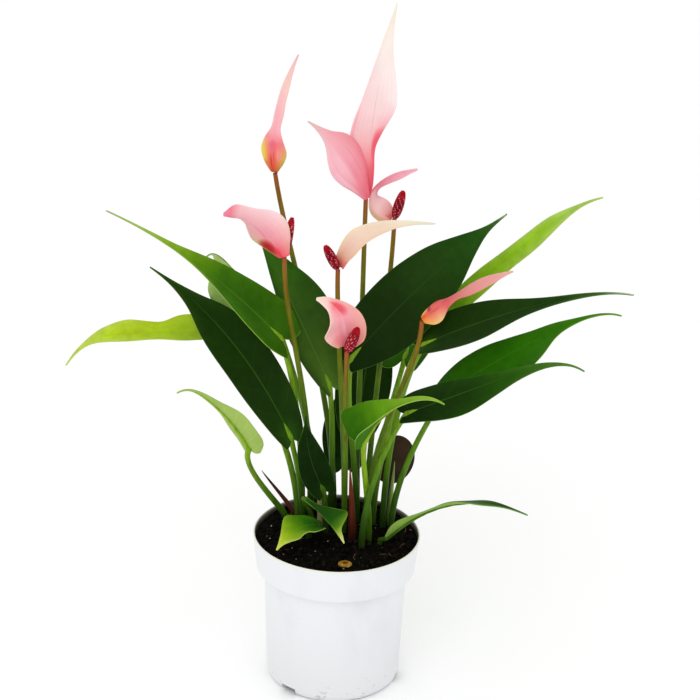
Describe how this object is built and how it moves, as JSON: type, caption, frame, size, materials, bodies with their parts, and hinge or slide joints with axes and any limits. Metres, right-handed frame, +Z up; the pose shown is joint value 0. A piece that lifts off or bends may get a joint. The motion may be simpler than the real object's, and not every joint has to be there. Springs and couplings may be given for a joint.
{
  "type": "potted anthurium",
  "caption": "Flamingo flower with long glossy leaves and pink, rose and cream spathes, growing in a round white plastic grower's pot.",
  "frame": {"origin": "centre of the pot's underside, on the surface that it stands on", "axes": "+Z up along the pot's axis; -Y is the side that the picture shows"},
  "size_m": [0.3986, 0.2104, 0.4861],
  "materials": {
    "pot": "thin moulded polypropylene, satin",
    "soil": "dark peat with pale specks",
    "tag": "dark brown plastic, bare",
    "pellet": "ochre bark ring",
    "leaf_dark": "glossy dark green leaf",
    "leaf_mid": "glossy mid-green leaf",
    "leaf_light": "satin light green leaf",
    "leaf_bright": "satin yellow-green leaf",
    "stem": "olive-brown flower stem, green at its foot",
    "spathe_pink": "waxy pale pink spathe",
    "spathe_rose": "waxy rose spathe",
    "spathe_cream": "waxy cream spathe",
    "spadix": "dark red, covered in small florets",
    "sheath_maroon": "maroon shoot",
    "sheath_green": "light green shoot",
    "sheath_cream": "cream shoot"
  },
  "bodies": {
    "root": {"pot": "pot", "soil": "soil", "tag": "tag", "pellet": "pellet", "leaf_upper_left": "leaf_mid", "leaf_left_dark": "leaf_dark", "leaf_far_left": "leaf_bright", "leaf_low_left": "leaf_light", "leaf_left_rear": "leaf_mid", "leaf_centre_dark": "leaf_dark", "leaf_right_dark": "leaf_dark", "leaf_right_bright": "leaf_bright", "leaf_far_right_top": "leaf_dark", "leaf_far_right_middle": "leaf_mid", "leaf_far_right_low": "leaf_dark", "leaf_front_bright": "leaf_light", "leaf_low_right": "leaf_mid", "leaf_front_curled": "leaf_light", "leaf_front_small": "leaf_light", "leaf_centre_small": "leaf_dark", "leaf_rear_centre": "leaf_dark", "leaf_rear_banded": "leaf_dark", "leaf_back": "leaf_mid", "stem_tall_left": "stem", "spathe_tall_left": "spathe_pink", "spadix_tall_left": "spadix", "stem_rose_left": "stem", "spathe_rose_left": "spathe_rose", "spadix_rose_left": "spadix", "stem_double": "stem", "spathe_double": "spathe_pink", "spadix_double": "spadix", "stem_pale": "stem", "spathe_pale": "spathe_pink", "spadix_pale": "spadix", "stem_cream": "stem", "spathe_cream": "spathe_cream", "spadix_cream": "spadix", "stem_front": "stem", "spathe_front": "spathe_rose", "spadix_front": "spadix", "stem_right": "stem", "spathe_right": "spathe_pink", "spadix_right": "spadix", "sheath_left": "sheath_maroon", "sheath_middle": "sheath_maroon", "sheath_right": "sheath_green", "sheath_cream": "sheath_cream"}
  },
  "joints": []
}
